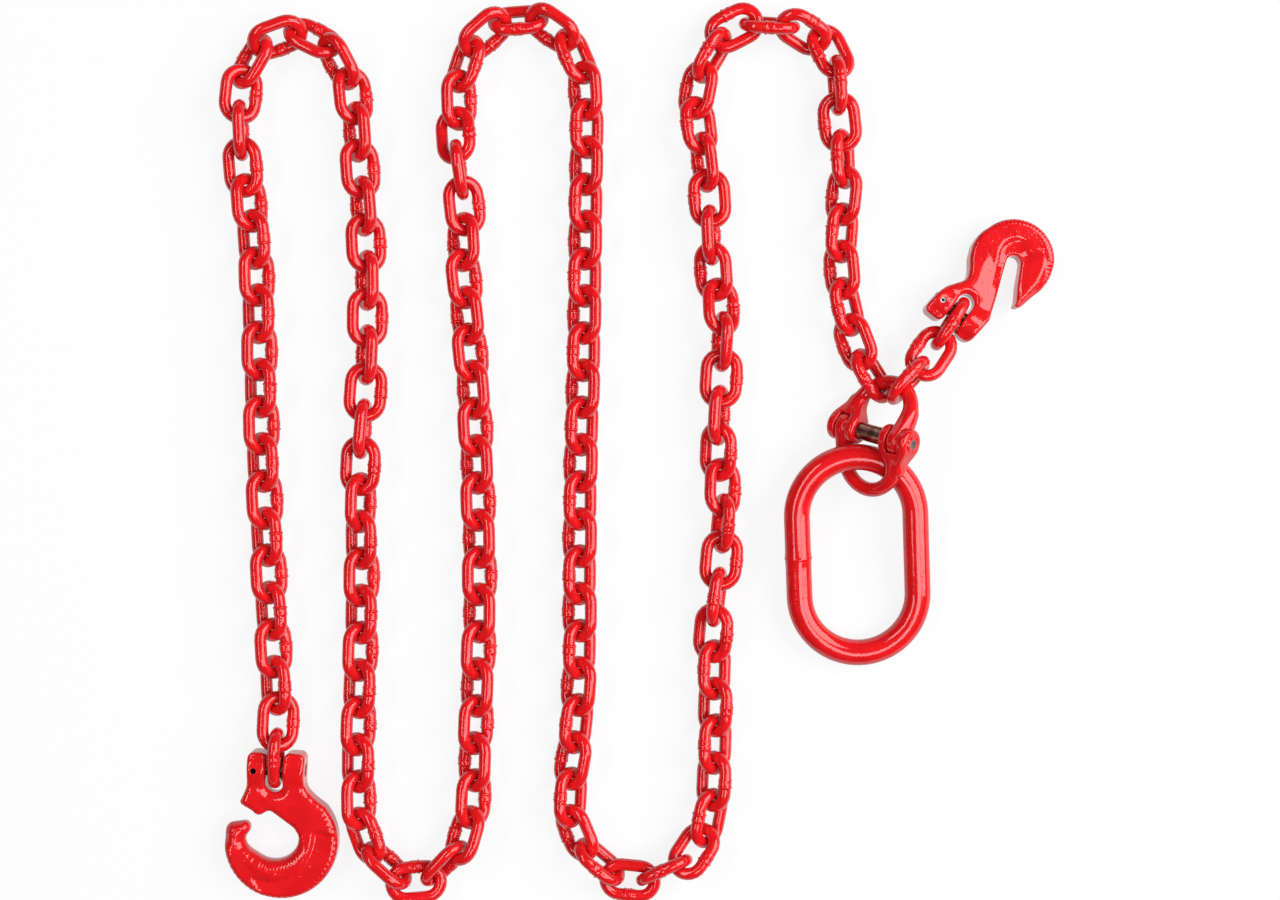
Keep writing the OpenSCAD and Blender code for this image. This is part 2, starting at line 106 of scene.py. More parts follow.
# Gloss enamel, dipped and baked on forged steel: deep red, wet-looking, pulled thin on the edges
paint = {
    "red": "#ec1e22", "shade": "#e01a1f",   # full coat, and where it lies thicker
    "cloudSize": 14,                        # mm between thick and thin places
    "peelSize": 3.2, "peelHeight": 0.05,    # mm, the slight waviness of a dipped coat
    "pitSize": 2.2, "pitHeight": 0.05,      # mm, the forged skin that shows through
    "roughness": 0.07, "haze": 0.05, "index": 1.56,  # baked resin, a little duller where thick
}


def makePaint(name):
    material, tree = newMaterial(name)
    place = addNode(tree, "ShaderNodeTexCoord").outputs["Object"]
    cloud = addNode(tree, "ShaderNodeTexNoise", {"Scale": 1 / (paint["cloudSize"] * mm), "Detail": 3.0},
                    Vector=place)
    colour = ramp(tree, cloud.outputs["Fac"], [(0.35, linear(paint["shade"])), (0.6, linear(paint["red"]))])
    peel = addNode(tree, "ShaderNodeTexNoise", {"Scale": 1 / (paint["peelSize"] * mm), "Detail": 1.0},
                   Vector=place)
    pits = addNode(tree, "ShaderNodeTexVoronoi", {"Scale": 1 / (paint["pitSize"] * mm)}, Vector=place)
    dents = addNode(tree, "ShaderNodeMapRange", {"From_Max": 0.3}, Value=pits.outputs["Distance"])
    skin = addNode(tree, "ShaderNodeBump", {"Strength": 1.0, "Distance": paint["pitHeight"] * mm},
                   Height=dents.outputs["Result"])
    wave = addNode(tree, "ShaderNodeBump", {"Strength": 1.0, "Distance": paint["peelHeight"] * mm},
                   Height=peel.outputs["Fac"], Normal=skin.outputs["Normal"])
    haze = addNode(tree, "ShaderNodeMapRange",
                   {"To_Min": paint["roughness"], "To_Max": paint["roughness"] + paint["haze"]},
                   Value=cloud.outputs["Fac"])
    shader = addNode(tree, "ShaderNodeBsdfPrincipled", {"IOR": paint["index"]},
                     Base_Color=colour.outputs["Color"], Roughness=haze.outputs["Result"],
                     Normal=wave.outputs["Normal"])
    finishMaterial(tree, shader)
    return material


# Ground alloy steel left bare: grey with a faint brown oil film
bareSteel = {"light": "#9b9691", "dark": "#5d5650", "grainSize": 0.5, "roughness": 0.34}
# Spring steel with a bright rolled face, paler than the ground pins
plainSteel = {"light": "#e2dedb", "dark": "#b9b4b0", "grainSize": 0.5, "roughness": 0.42}
# Spring steel darkened to near black, painted shade standing for the shade of the deep hole it is sunk in
holeShadeFinish = {"light": "#24201e", "dark": "#0f0d0c", "grainSize": 0.5, "roughness": 0.5}
# Rolled spring steel of the retaining sleeve, blued to a bronze brown
bluedSteel = {"light": "#b39c86", "dark": "#6d5748", "grainSize": 0.4, "roughness": 0.22}


steelSkin = {"stainSize": 4, "grainHeight": 0.01, "haze": (-0.06, 0.1)}  # sizes in mm


def makeSteel(name, finish, bare=None):  # bare: the pin's middle and axis, and the radius left free of paint
    material, tree = newMaterial(name)
    place = addNode(tree, "ShaderNodeTexCoord").outputs["Object"]
    stains = addNode(tree, "ShaderNodeTexNoise", {"Scale": 1 / (steelSkin["stainSize"] * mm), "Detail": 4.0},
                     Vector=place)
    colour = ramp(tree, stains.outputs["Fac"],
                  [(0.35, linear(finish["dark"])), (0.65, linear(finish["light"]))])
    grain = addNode(tree, "ShaderNodeTexNoise", {"Scale": 1 / (finish["grainSize"] * mm), "Detail": 2.0},
                    Vector=place)
    relief = addNode(tree, "ShaderNodeBump", {"Strength": 1.0, "Distance": steelSkin["grainHeight"] * mm},
                     Height=grain.outputs["Fac"])
    least, most = (finish["roughness"] + part for part in steelSkin["haze"])
    haze = addNode(tree, "ShaderNodeMapRange", {"To_Min": least, "To_Max": most}, Value=grain.outputs["Fac"])
    shader = addNode(tree, "ShaderNodeBsdfPrincipled", {"Metallic": 1.0},
                     Base_Color=colour.outputs["Color"], Roughness=haze.outputs["Result"],
                     Normal=relief.outputs["Normal"])
    if bare:
        middle, axis, radius = bare
        arm = addNode(tree, "ShaderNodeVectorMath", {"operation": "SUBTRACT", 0: place, 1: middle})
        crossed = addNode(tree, "ShaderNodeVectorMath",
                          {"operation": "CROSS_PRODUCT", 0: arm.outputs[0], 1: axis})
        gap = addNode(tree, "ShaderNodeVectorMath", {"operation": "LENGTH", 0: crossed.outputs[0]})
        edge = addNode(tree, "ShaderNodeMapRange",
                       {"From_Min": (radius - 0.2) * mm, "From_Max": (radius + 0.2) * mm},
                       Value=gap.outputs["Value"])
        coat = addNode(tree, "ShaderNodeBsdfPrincipled",
                       {"Base_Color": linear(paint["red"]), "IOR": paint["index"],
                        "Roughness": paint["roughness"]})
        shader = addNode(tree, "ShaderNodeMixShader",
                         {0: edge.outputs["Result"], 1: shader.outputs[0], 2: coat.outputs[0]})
    finishMaterial(tree, shader)
    return material


redPaint = makePaint("glossRedEnamel")
steel = makeSteel("groundAlloySteel", bareSteel)
brightSteel = makeSteel("brightSpringSteel", plainSteel)
# painted shade: the sunk spring pin's steel is darkened to stand for the shade in its hole
holeShadeSteel = makeSteel("springPinInPaintedShade", holeShadeFinish)
sleeveSteel = makeSteel("bluedSpringSteel", bluedSteel)
print("materials made")


def meshObject(name, verts, faces, material=None):
    mesh = bpy.data.meshes.new(name)
    mesh.from_pydata([tuple(v) for v in verts], [], faces)
    mesh.update()
    thing = bpy.data.objects.new(name, mesh)
    bpy.context.scene.collection.objects.link(thing)
    if material:
        mesh.materials.append(material)
    mesh.shade_smooth()
    return thing


def facesOut(thing):
    bm = bmesh.new()
    bm.from_mesh(thing.data)
    bmesh.ops.recalc_face_normals(bm, faces=bm.faces)
    bm.to_mesh(thing.data)
    bm.free()


# A round bar bent into an oblong ring and butt-welded in the middle of one leg
def ringStations(crown, leg, weldAt, onCrown, onLeg):
    rows = []  # each is a point on the centreline, the way outwards, and the distance from the weld
    for x in weldAt:
        rows.append(((x, crown), (0, 1), x))
    for side in (1, -1):
        if side == -1:
            for i in range(onLeg):
                rows.append(((leg / 2 - leg * (i + 1) / (onLeg + 1), -crown), (0, -1), leg))
        for i in range(onCrown + 1):
            a = math.pi / 2 * side - math.pi * i / onCrown
            out = (math.cos(a), math.sin(a))
            rows.append(((side * leg / 2 + crown * out[0], crown * out[1]), out, leg))
    return rows


def ringMesh(name, size, material=None):
    crown = size["crown"]
    rows = ringStations(crown, size["leg"], size["weldAt"], size["onCrown"], size["onLeg"])
    rng = np.random.default_rng(size["seed"])
    wobble = rng.uniform(-1, 1, (len(rows), size["sides"]))
    verts = []
    for (point, out, x), rough in zip(rows, wobble):
        swell = size["swell"] * math.exp(-(x / size["swellHalf"]) ** 4)
        ridge = sum(h * math.exp(-((x - at) / 0.45) ** 2) for at, h in size["ridges"])
        near = math.exp(-(x / (size["swellHalf"] * 0.9)) ** 6)
        for k in range(size["sides"]):
            a = 2 * math.pi * k / size["sides"]
            r = size["bar"] / 2 + swell + ridge + size["rough"] * near * rough[k]
            verts.append(Vector((point[0] + out[0] * r * math.cos(a), point[1] + out[1] * r * math.cos(a),
                                 r * math.sin(a))) * mm)
    n, m = len(rows), size["sides"]
    faces = [(i * m + k, i * m + (k + 1) % m, (i + 1) % n * m + (k + 1) % m, (i + 1) % n * m + k)
             for i in range(n) for k in range(m)]
    ring = meshObject(name, verts, faces, material)
    facesOut(ring)
    return ring


chainLink = {
    "bar": 8, "crown": 10, "leg": 12.5,
    "sides": 16, "onCrown": 12, "onLeg": 3,
    "weldAt": [-5, -4, -3.3, -2.7, -2.2, -1.6, -0.8, 0, 0.8, 1.6, 2.2, 2.7, 3.3, 4, 5],
    "swell": 0.35, "swellHalf": 3.1, "rough": 0.12,
}
weldKinds = [  # places and heights of the ridges that the welding rolls leave, in mm
    [(-2.6, 0.75), (0.6, 0.25), (2.7, 0.35)],
    [(2.5, 0.8), (-2, 0.3)],
    [(-1.3, 0.7), (2.7, 0.5), (-3.2, 0.25)],
]


def ringFrames(node, size):  # place and turn of each ring in a CAD node, from its solid's own shape
    bm = bmesh.new()
    bm.from_mesh(frame["nodes"][node].data)
    bmesh.ops.remove_doubles(bm, verts=bm.verts, dist=0.002 * mm)
    bm.faces.ensure_lookup_table()
    seen, frames = set(), []
    for start in bm.faces:
        if start.index in seen:
            continue
        seen.add(start.index)
        queue, part = [start], []
        while queue:
            face = queue.pop()
            part.append(face)
            for edge in face.edges:
                for other in edge.link_faces:
                    if other.index not in seen:
                        seen.add(other.index)
                        queue.append(other)
        centres = np.array([f.calc_center_median() for f in part])
        areas = np.array([f.calc_area() for f in part])
        middle = (centres * areas[:, None]).sum(0) / areas.sum()
        spread = (centres - middle).T @ ((centres - middle) * areas[:, None])
        axes = np.linalg.eigh(spread)[1][:, ::-1].T          # longest first
        corners = np.array([v.co for v in {v for f in part for v in f.verts}]) - middle
        reach = corners @ axes.T
        low, high = reach.min(0), reach.max(0)
        if low[1] + high[1] < 0:                              # the welded leg stands out further
            axes[1] *= -1
            low[1], high[1] = -high[1], -low[1]
        axes[2] = np.cross(axes[0], axes[1])
        half = (size["crown"] + size["bar"] / 2) * mm
        centre = middle + axes[0] * (low[0] + high[0]) / 2 + axes[1] * (low[1] + half)
        frames.append((Vector(centre), Matrix(axes.T.tolist())))
    bm.free()
    return frames


def linkTree():  # one link on each point, turned by the point's own attribute
    tree = bpy.data.node_groups.new("linksAlongRun", "GeometryNodeTree")
    tree.interface.new_socket("Points", in_out="INPUT", socket_type="NodeSocketGeometry")
    tree.interface.new_socket("Link kinds", in_out="INPUT", socket_type="NodeSocketCollection")
    tree.interface.new_socket("Link size", in_out="INPUT", socket_type="NodeSocketFloat").default_value = 1.0
    tree.interface.new_socket("Paint", in_out="INPUT", socket_type="NodeSocketMaterial")
    tree.interface.new_socket("Geometry", in_out="OUTPUT", socket_type="NodeSocketGeometry")
    given = tree.nodes.new("NodeGroupInput")
    kinds = addNode(tree, "GeometryNodeCollectionInfo", {"Separate_Children": True, "Reset_Children": True},
                    Collection=given.outputs["Link kinds"])
    turn = addNode(tree, "GeometryNodeInputNamedAttribute", {"data_type": "QUATERNION", "Name": "turn"})
    kind = addNode(tree, "GeometryNodeInputNamedAttribute", {"data_type": "INT", "Name": "kind"})
    laid = addNode(tree, "GeometryNodeInstanceOnPoints", {"Pick_Instance": True},
                   Points=given.outputs["Points"], Instance=kinds.outputs["Instances"],
                   Instance_Index=kind.outputs["Attribute"], Rotation=turn.outputs["Attribute"],
                   Scale=given.outputs["Link size"])
    solid = addNode(tree, "GeometryNodeRealizeInstances", Geometry=laid.outputs["Instances"])
    painted = addNode(tree, "GeometryNodeSetMaterial", Geometry=solid.outputs["Geometry"],
                      Material=given.outputs["Paint"])
    result = tree.nodes.new("NodeGroupOutput")
    tree.links.new(painted.outputs["Geometry"], result.inputs["Geometry"])
    return tree


def realised(thing):  # the evaluated object as a plain mesh, its modifiers gone
    depsgraph = bpy.context.evaluated_depsgraph_get()
    mesh = bpy.data.meshes.new_from_object(thing.evaluated_get(depsgraph))
    thing.modifiers.clear()
    thing.data = mesh
    return thing


def layLinks(nodes):
    shelf = bpy.data.collections.new("linkKinds")
    bpy.context.scene.collection.children.link(shelf)
    for i, ridges in enumerate(weldKinds):
        kind = ringMesh("linkKind" + str(i), dict(chainLink, ridges=ridges, seed=i))
        bpy.context.scene.collection.objects.unlink(kind)
        shelf.objects.link(kind)
    tree = linkTree()
    sockets = {s.name: s.identifier for s in tree.interface.items_tree if s.in_out == "INPUT"}
    pick = np.random.default_rng(5)
    for node in nodes:
        frames = ringFrames(node, chainLink)
        run = meshObject(node + ".links", [place for place, _ in frames], [])
        turns = run.data.attributes.new("turn", "QUATERNION", "POINT")
        for i, (_, axes) in enumerate(frames):
            turns.data[i].value = axes.to_quaternion()
        kinds = run.data.attributes.new("kind", "INT", "POINT")
        for i in range(len(frames)):
            kinds.data[i].value = int(pick.integers(len(weldKinds)))
        modifier = run.modifiers.new("links", "NODES")
        modifier.node_group = tree
        modifier[sockets["Link kinds"]] = shelf
        modifier[sockets["Paint"]] = redPaint
        realised(run)
        run.data.shade_smooth()
        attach(run, node)
        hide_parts(node)
    for kind in list(shelf.objects):
        bpy.data.objects.remove(kind)
    bpy.data.collections.remove(shelf)


chainNodes = sorted(n for n in frame["nodes"] if n.startswith(("chain_", "leg_link_")))
layLinks(chainNodes)
print("links laid:", len(chainNodes), "nodes")


# Forged hooks: a plate of the hook's outline, whose two faces follow a height worked out at each
# point. Drawn flat in mm with the clevis pin along X, the chain coming from +Y.
def arc(centre, radius, start, stop, step=6):
    count = max(2, int(abs(stop - start) / step))
    angles = [math.radians(start + (stop - start) * i / count) for i in range(count + 1)]
    return [(centre[0] + radius * math.cos(a), centre[1] + radius * math.sin(a)) for a in angles]


def clevisTop(hook):  # over the left ear, down and up the slot, over the right ear
    left, right = hook["ears"]
    top, half, corner = hook["earRadius"], hook["gap"] / 2, hook["corner"]
    return (arc((left + corner, top - corner), corner, 180, 90)
            + arc((-half - corner, top - corner), corner, 90, 0)
            + arc((0, half - hook["slotFloor"]), half, 180, 360)
            + arc((half + corner, top - corner), corner, 180, 90)
            + arc((right - corner, top - corner), corner, 90, 0))


def evenLoop(points, spacing, blur):  # the closed line in even steps, its corners softened
    closed = np.array(points + points[:1])
    along = np.r_[0, np.cumsum(np.linalg.norm(np.diff(closed, axis=0), axis=1))]
    at = np.linspace(0, along[-1], int(along[-1] / spacing), endpoint=False)
    loop = np.c_[np.interp(at, along, closed[:, 0]), np.interp(at, along, closed[:, 1])]
    for _ in range(blur):
        loop = (np.roll(loop, 1, 0) + 2 * loop + np.roll(loop, -1, 0)) / 4
    return loop


def edgeDistance(loop, points):
    step = np.roll(loop, -1, 0) - loop
    rows = []
    for some in np.array_split(points, len(points) // 1000 + 1):
        away = some[:, None, :] - loop
        t = np.clip((away * step).sum(2) / (step * step).sum(1), 0, 1)
        rows.append(np.linalg.norm(away - t[..., None] * step, axis=2).min(1))
    return np.concatenate(rows)


def insideLoop(loop, points):
    x, y = points.T
    hit = np.zeros(len(points), bool)
    for (x1, y1), (x2, y2) in zip(loop, np.roll(loop, -1, 0)):
        if y1 != y2:
            hit ^= ((y1 > y) != (y2 > y)) & (x < (x2 - x1) * (y - y1) / (y2 - y1) + x1)
    return hit


def ease(value, low, high):
    t = np.clip((value - low) / (high - low), 0, 1)
    return t * t * (3 - 2 * t)


def greater(a, b, blend):  # the larger of two heights, with a fillet where they cross
    return (a + b + np.sqrt((a - b) ** 2 + blend ** 2)) / 2


def earHeight(hook, x, y, foot, low):  # round over the pin, then down to the body
    radius = hook["earRadius"]
    over = np.sqrt(np.clip(radius ** 2 - np.maximum(y, 0) ** 2, 0, None))
    return over - (radius - low) * 1.6 * ease(-y, 0, 1.6 * foot)


plateMesh = {
    "spacing": 0.55, "blur": 4, "grid": 0.65, "wallRows": 4, "thinnest": 0.5, "passes": 6,
    "turns": (14, 28, 42, 54, 66, 77, 87, 97, 107),      # degrees round the rounded edge, a row at each
}


def plate(name, outline, height, edge):
    loop = evenLoop(outline, plateMesh["spacing"], plateMesh["blur"])
    ahead = np.roll(loop, -1, 0) - np.roll(loop, 1, 0)
    inward = np.c_[ahead[:, 1], -ahead[:, 0]] / np.linalg.norm(ahead, axis=1)[:, None]  # loops run clockwise
    rows = [loop]
    for turn in plateMesh["turns"]:
        reach = edge(*loop.T) * (1 - math.cos(math.radians(turn)))
        row = loop + inward * reach[:, None]
        rows.append(row[insideLoop(loop, row) & (edgeDistance(loop, row) > reach - 0.04)])
    low, high = loop.min(0), loop.max(0)
    field = np.stack(np.meshgrid(np.arange(low[0], high[0], plateMesh["grid"]),
                                 np.arange(low[1], high[1], plateMesh["grid"])), -1).reshape(-1, 2)
    field = field[insideLoop(loop, field)]
    lastTurn = 1 - math.cos(math.radians(plateMesh["turns"][-1]))
    field = field[edgeDistance(loop, field) > edge(*field.T) * lastTurn + plateMesh["grid"] / 2]
    n = len(loop)
    rim = [(i, (i + 1) % n) for i in range(n)]
    points = [Vector(p) for p in np.vstack(rows + [field])]
    flat, _, triangles, came, _, _ = delaunay_2d_cdt(points, rim, [], 1, 1e-5, True)
    onRim = {old: i for i, olds in enumerate(came) for old in olds if old < n}
    rimIndex = [onRim[i] for i in range(n)]
    flat = np.array([tuple(p) for p in flat])
    triangles = np.array(triangles)[insideLoop(loop, flat[np.array(triangles)].mean(1))].tolist()
    depth = edgeDistance(loop, flat)
    depth[rimIndex] = 0
    radius = edge(*flat.T)
    part = np.clip(1 - depth / radius, 0, 1)
    z = np.maximum(height(*flat.T) - radius * (1 - np.sqrt(1 - part ** 2)), plateMesh["thinnest"])
    count = len(flat)
    verts = [(x, y, h) for (x, y), h in zip(flat, z)] + [(x, y, -h) for (x, y), h in zip(flat, z)]
    faces = [tuple(f) for f in triangles] + [tuple(count + i for i in reversed(f)) for f in triangles]
    levels = [rimIndex]
    for k in range(1, plateMesh["wallRows"]):
        levels.append(list(range(len(verts), len(verts) + n)))
        verts += [(*flat[i], z[i] * (1 - 2 * k / plateMesh["wallRows"])) for i in rimIndex]
    levels.append([count + i for i in rimIndex])
    for upper, lower in zip(levels, levels[1:]):
        faces += [(upper[i], lower[i], lower[(i + 1) % n], upper[(i + 1) % n]) for i in range(n)]
    piece = meshObject(name, [Vector(v) * mm for v in verts], faces, redPaint)
    softenFaces(piece)
    facesOut(piece)
    return piece


def softenFaces(piece):  # evens out the height inside the rim, so that ridges come out rounded
    bm = bmesh.new()
    bm.from_mesh(piece.data)
    bm.verts.ensure_lookup_table()
    inner = [v for v in bm.verts if abs(v.co.z) > plateMesh["thinnest"] * mm
             and not any(len(f.verts) == 4 for f in v.link_faces)]
    for _ in range(plateMesh["passes"]):
        bmesh.ops.smooth_vert(bm, verts=inner, factor=0.5, use_axis_z=True)
    bm.to_mesh(piece.data)
    bm.free()


def drill(piece, radius, place, axis, length=80):  # a round hole through the piece, drawn in mm
    bm = bmesh.new()
    turn = Vector((0, 0, 1)).rotation_difference(Vector(axis)).to_matrix().to_4x4()
    bmesh.ops.create_cone(bm, cap_ends=True, segments=48, radius1=radius * mm, radius2=radius * mm,
                          depth=length * mm, matrix=Matrix.Translation(Vector(place) * mm) @ turn)
    mesh = bpy.data.meshes.new("drill")
    bm.to_mesh(mesh)
    bm.free()
    cutter = bpy.data.objects.new("drill", mesh)
    bpy.context.scene.collection.objects.link(cutter)
    cut = piece.modifiers.new("hole", "BOOLEAN")
    cut.operation, cut.solver, cut.object = "DIFFERENCE", "EXACT", cutter
    realised(piece)
    bpy.data.objects.remove(cutter)


def boxMiddle(node):
    low, high = (Vector(corner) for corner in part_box(node))
    return (low + high) / 2


choker = {
    "ears": (-17.8, 19.5), "earRadius": 11.75, "corner": 4.2, "gap": 11.4, "slotFloor": 14.6, "thick": 18,
    "outer": (5.8, -46.9), "outerRadius": 37, "bowl": (0.7, -42.7), "bowlRadius": 16.6,
    "band": (2, -46.5), "bandRadius": 25.5,              # the raised band round the bowl
    "groove": [(34.4, -39.1), (30.9, -38.1), (28, -38.5), (26.6, -40.9), (26.5, -45), (25.6, -49.6),
               (23.6, -55.5), (20.4, -61.4), (17.1, -65.6), (12.6, -68.7), (4.6, -70.8), (-1.1, -71.6),
               (-7, -70.2), (-10.4, -70.3), (-11.5, -71.5), (-10.9, -73.2), (-9.7, -74.3)],
    "grooveDepth": 1.9, "grooveWall": 0.6, "grooveFade": 9,
    "bore": 4.55, "lock": -13, "lockBore": 2.05,
}


def chokerOutline():
    outer, bowl = choker["outer"], choker["bowl"]
    return (clevisTop(choker) + [(19.2, -4), (19.6, -8.8), (21.3, -12.5), (24.8, -16.1), (29.3, -19.7)]
            + arc(outer, choker["outerRadius"], 41, -178)
            + arc((-25.6, -41.2), 5.5, 180, 105) + arc((-19.4, -39.3), 4.6, 95, -40)
            + [(-17.4, -44.2), (-18, -46.4), (-17, -49.8), (-14.4, -53.2)]
            + arc(bowl, choker["bowlRadius"], 234, 360)
            + [(14.2, -37.4), (-0.6, -27.2), (-2.6, -26.4), (-5, -27.6), (-8.2, -29.7), (-11, -29.3),
               (-13.8, -26.8), (-20.4, -23.4), (-22, -21.6), (-20.9, -19), (-19.2, -15.2), (-17.9, -11.3),
               (-17.4, -7), (-17.4, -4)])


def sideOf(line, x, y):  # distance from an open line, positive on its left
    line = evenLoop(line + line[::-1], 0.5, 6)
    line = line[:len(line) // 2]
    start, step = line[:-1], np.diff(line, axis=0)
    result = np.zeros(len(x))
    for part in np.array_split(np.arange(len(x)), len(x) // 1000 + 1):
        away = np.c_[x, y][part][:, None, :] - start
        t = np.clip((away * step).sum(2) / (step * step).sum(1), 0, 1)
        gap = away - t[..., None] * step
        near = np.linalg.norm(gap, axis=2).argmin(1)
        i = np.arange(len(part))
        side = step[near, 0] * away[i, near, 1] - step[near, 1] * away[i, near, 0]
        result[part] = np.copysign(np.linalg.norm(gap[i, near], axis=1), side)
    return result


def chokerHeight(x, y):
    body = choker["thick"] / 2 + 0 * x
    fromBand = np.hypot(x - choker["band"][0], y - choker["band"][1]) - choker["bandRadius"]
    outside = sideOf(choker["groove"], x, y)               # sunk flank, deepest along the foot of the band
    fade = np.exp(-np.maximum(outside, 0) / choker["grooveFade"])
    body -= choker["grooveDepth"] * ease(outside, 0, choker["grooveWall"]) * fade
    crest = np.exp(-((fromBand + 5) / 2.2) ** 2) * ease(-y, 42, 54)
    body += 0.7 * ease(-x, -10, 2) * crest
    throat = np.hypot(x, y + 8.9) - choker["gap"] / 2      # bevel round the floor of the slot
    body -= 2.6 * np.clip(1 - throat / 5.2, 0, 1) * ease(-y, 9, 13)
    lean = np.clip((-9 - x) / 22, 0, 1) * ease(-y, 30, 40)  # the tip thins a little
    return greater(body - 0.8 * lean, earHeight(choker, x, y, 11, 8.6), 0.6)


def chokerEdge(x, y):
    fromBowl = np.hypot(x - choker["bowl"][0], y - choker["bowl"][1]) - choker["bowlRadius"]
    edge = 3.8 + 0 * x
    edge += 3.2 * (1 - ease(fromBowl, 4, 9)) * ease(-y, 44, 52)
    edge += 4.6 * (1 - ease(np.hypot(x + 23, y + 43), 7, 13))
    edge -= 1.6 * ease(y, -12, -6)
    return edge


grab = {
    "ears": (-17.8, 19.5), "earRadius": 11.75, "corner": 4.2, "gap": 11.4, "slotFloor": 14.6, "thick": 18,
    "head": (-8, -50.7), "headRadius": 26.5, "slotEnd": (-9, -48.9), "slotLean": 23.4, "slot": 9.6,
    "bore": 4.55, "lock": 13, "lockBore": 2.05,
}


def fromSlot(u, v):  # from the slot's own lines to the hook's
    a, (x, y) = math.radians(grab["slotLean"]), grab["slotEnd"]
    return x + u * math.cos(a) - v * math.sin(a), y + u * math.sin(a) + v * math.cos(a)


def toSlot(x, y):
    a = math.radians(grab["slotLean"])
    x, y = x - grab["slotEnd"][0], y - grab["slotEnd"][1]
    return x * math.cos(a) + y * math.sin(a), -x * math.sin(a) + y * math.cos(a)


def grabOutline():
    half, lean = grab["slot"] / 2, grab["slotLean"]
    return (clevisTop(grab)
            + [(18.2, -4), (16.4, -9.8), (12.5, -15.2), (9.4, -19.8), (9.2, -23.8), (11.4, -28.1),
               (16.1, -34.5), (19.2, -41.8), (19.9, -48), (19.3, -53)]
            + arc(grab["head"], grab["headRadius"], -14, -179)
            + [(-34.3, -45.5), (-32.6, -39.5), (-30.4, -28.8), (-29, -26.8), (-26.6, -26.2),
               fromSlot(-half - 2.8, 24), fromSlot(-half - 1.2, 14), fromSlot(-half - 0.4, 3)]
            + arc(grab["slotEnd"], half, 180 + lean, 360 + lean)
            + [fromSlot(half + 0.2, 12), (-14.3, -23.4), (-17.6, -14.4), (-19.2, -9), (-18.6, -4)])


ridge = {  # how far the bevel along the slot reaches from the slot's end, by turn, and beside it, by height
    "turn": (0, 35, 57, 78, 101, 125, 150, 170, 180),
    "reach": (11, 13.1, 14.6, 16, 16.7, 17.4, 18.2, 18.8, 18.8),
    "shankAt": (0, 8, 20, 34), "shank": (11, 10.5, 7.7, 5.8),
    "fingerAt": (0, 3, 11, 25), "finger": (18.8, 18.6, 16.4, 8.6),
}


def grabHeight(x, y):
    u, v = toSlot(x, y)
    turn = np.degrees(np.arctan2(np.maximum(-v, 0), u))
    out = np.where(v < 0, np.hypot(u, v), np.abs(u))
    reach = np.where(v < 0, np.interp(turn, ridge["turn"], ridge["reach"]),
                     np.where(u > 0, np.interp(v, ridge["shankAt"], ridge["shank"]),
                              np.interp(v, ridge["fingerAt"], ridge["finger"])))
    edge = grab["slot"] / 2
    below = np.clip((reach - out) / (reach - edge), 0, 1)
    panel = np.where(v < 0, 1 - ease(turn, 85, 125), u > 0)  # sunk beside the shank and over the slot's end
    bevel = 1.9 * panel * ease(reach - out, -0.3, 2.2) + 0.15 * (1 - panel) * (reach - edge) * below
    # The finger's ridge falls off outwards too
    outer = 2.6 * ease(out - reach, -0.5, 4.5) * ease(v, -9, 2) * (u < 0)
    neckSide = np.interp(-y, (14, 17, 26, 35, 43), (4, 3.4, 3.2, 6.3, 7.4))
    neck = 0.13 * np.clip(neckSide - x, 0, 22) * (1 - ease(-y, 38, 50)) * (u > 0)
    body = grab["thick"] / 2 - neck - bevel - outer
    seat = np.exp(-((u + 7) / 3.2) ** 2 - ((v + 5.5) / 2.2) ** 2)   # throat that the gripped link beds in
    lip = np.exp(-((u + 9.5) / 4.5) ** 2 - ((v + 10.5) / 1.6) ** 2)
    body += 0.6 * lip - 1.3 * seat
    return greater(body, earHeight(grab, x, y, 17, 5.2), 0.6)


def grabEdge(x, y):
    u, v = toSlot(x, y)
    edge = 3.4 + 0 * x
    edge -= 1.6 * (1 - ease(np.where(v < 0, np.hypot(u, v), np.abs(u)), 6, 9)) * ease(-y, 18, 24)
    edge -= 1.2 * ease(y, -12, -6)
    return edge


def hookFrame(name, hook):  # origin in the middle of the clevis pin, where the drawing has it
    pin, lock = boxMiddle(name + "_pin"), boxMiddle(name + "_spring_pin")
    across = longAxis(name + "_pin")
    if (lock - pin).dot(across) * hook["lock"] < 0:
        across = -across
    up = longAxis(name + "_spring_pin")
    if up.z < 0:
        up = -up
    axes = Matrix((across, up.cross(across), up)).transposed()
    return Matrix.Translation(lock - across * hook["lock"] * mm) @ axes.to_4x4()


def longAxis(node):
    points = np.array([frame["nodes"][node].matrix_world @ v.co for v in frame["nodes"][node].data.vertices])
    return Vector(np.linalg.svd(points - points.mean(0), full_matrices=False)[2][0])


def placeHook(name, hook, outline, height, edge):
    piece = plate(name + ".forged", outline, height, edge)
    drill(piece, hook["bore"], (0, 0, 0), (1, 0, 0))
    drill(piece, hook["lockBore"], (hook["lock"], 0, 0), (0, 0, 1))
    piece.data.transform(hookFrame(name, hook))
    facesOut(piece)
    piece.data.shade_smooth()
    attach(piece, name)
    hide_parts(name)


# Coupling halves: rounded forms blended into each other, as the dies leave them. In mm, with the
# load pin along X, the fork at +X and the bow towards +Y.
half = {
    "bar": 9.5, "bow": 21.5, "foot": 15, "swell": 0.5,
    "lugRadius": 9.5, "root": 18, "rootRadius": 4.6,        # the teardrop of each lug, seen along the pin
    "single": 4.25, "prong": 3.25, "prongAt": 7.8, "prongIn": 2.6, "edge": 2.7,
    "slot": 4.55, "slotRadius": 10.1, "bore": 5.05,
    "slotEdge": 0.8, "slotBlend": 1.2, "boreBlend": 0.6,
    "blend": 2.4, "cell": 0.4, "reach": ((-29, 35), (-12, 44), (-12, 12)),
}


